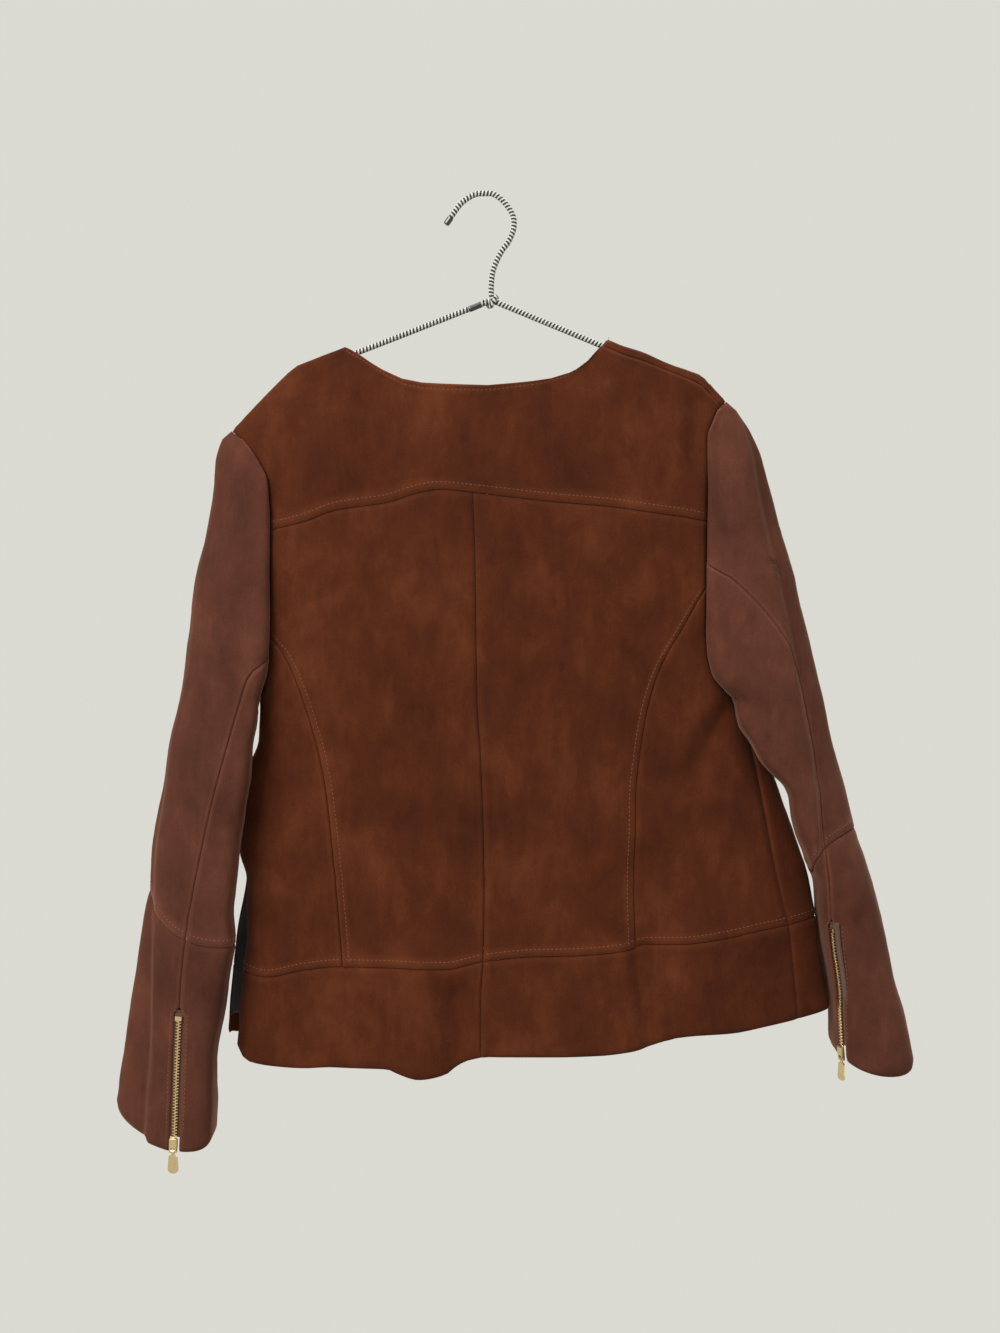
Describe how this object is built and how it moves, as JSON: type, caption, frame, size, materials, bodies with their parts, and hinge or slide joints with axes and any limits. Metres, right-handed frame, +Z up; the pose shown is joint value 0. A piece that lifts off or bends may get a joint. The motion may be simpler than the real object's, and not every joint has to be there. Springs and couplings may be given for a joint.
{
  "type": "suede jacket on a wire hanger",
  "caption": "Waisted suede jacket with a peplum and zipped cuffs, hanging by its shoulders on a cord-wrapped wire hanger with an open hook.",
  "frame": {"origin": "in the hook, just under its top, where a rail or nail carries it", "axes": "+Z up, +X to the right seen from the back of the jacket, +Y from the back of the jacket to its fronts"},
  "size_m": [0.697, 0.0864, 0.8523],
  "materials": {
    "suede": "reddish brown suede, napped and matt",
    "sleeve_suede": "the same suede, a little paler where the nap lies over",
    "lining": "black satin lining",
    "brass": "pale gold metal",
    "zip_tape": "brown woven tape",
    "hanger_cord": "black and white cord wound round a wire",
    "cap_plastic": "glossy black"
  },
  "bodies": {
    "root": {"back_centre_left": "suede", "back_centre_right": "suede", "back_side_left": "suede", "back_side_right": "suede", "back_yoke": "suede", "cuff_zip_left_chain": "brass", "cuff_zip_left_slider": "brass", "cuff_zip_left_tape": "zip_tape", "cuff_zip_left_top_stop": "brass", "cuff_zip_right_chain": "brass", "cuff_zip_right_slider": "brass", "cuff_zip_right_tape": "zip_tape", "cuff_zip_right_top_stop": "brass", "front_left": "suede", "front_right": "suede", "hanger_arm_left": "hanger_cord", "hanger_arm_right": "hanger_cord", "hanger_bar": "hanger_cord", "hanger_end_cap": "cap_plastic", "hanger_hook": "hanger_cord", "hanger_tip_cap": "cap_plastic", "lining_front_left": "lining", "peplum_back_left": "suede", "peplum_back_right": "suede", "peplum_front_left": "suede", "peplum_front_right": "suede", "sleeve_lower_left": "sleeve_suede", "sleeve_lower_right": "sleeve_suede", "sleeve_lower_under_left": "sleeve_suede", "sleeve_lower_under_right": "sleeve_suede", "sleeve_top_left": "sleeve_suede", "sleeve_top_right": "sleeve_suede", "sleeve_under_left": "sleeve_suede", "sleeve_under_right": "sleeve_suede"},
    "left_pull": {"cuff_zip_left_pull": "brass"},
    "right_pull": {"cuff_zip_right_pull": "brass"}
  },
  "joints": [
    {"name": "left_pull_swing", "type": "hinge", "parent": "root", "child": "left_pull", "pos_m": [-0.26902, -0.03809, -0.82837], "axis": [-0.982, 0.1887, 0], "range_deg": [0, 110]},
    {"name": "right_pull_swing", "type": "hinge", "parent": "root", "child": "right_pull", "pos_m": [0.30553, -0.02475, -0.75258], "axis": [-0.3643, 0.9313, 0], "range_deg": [0, 110]}
  ]
}
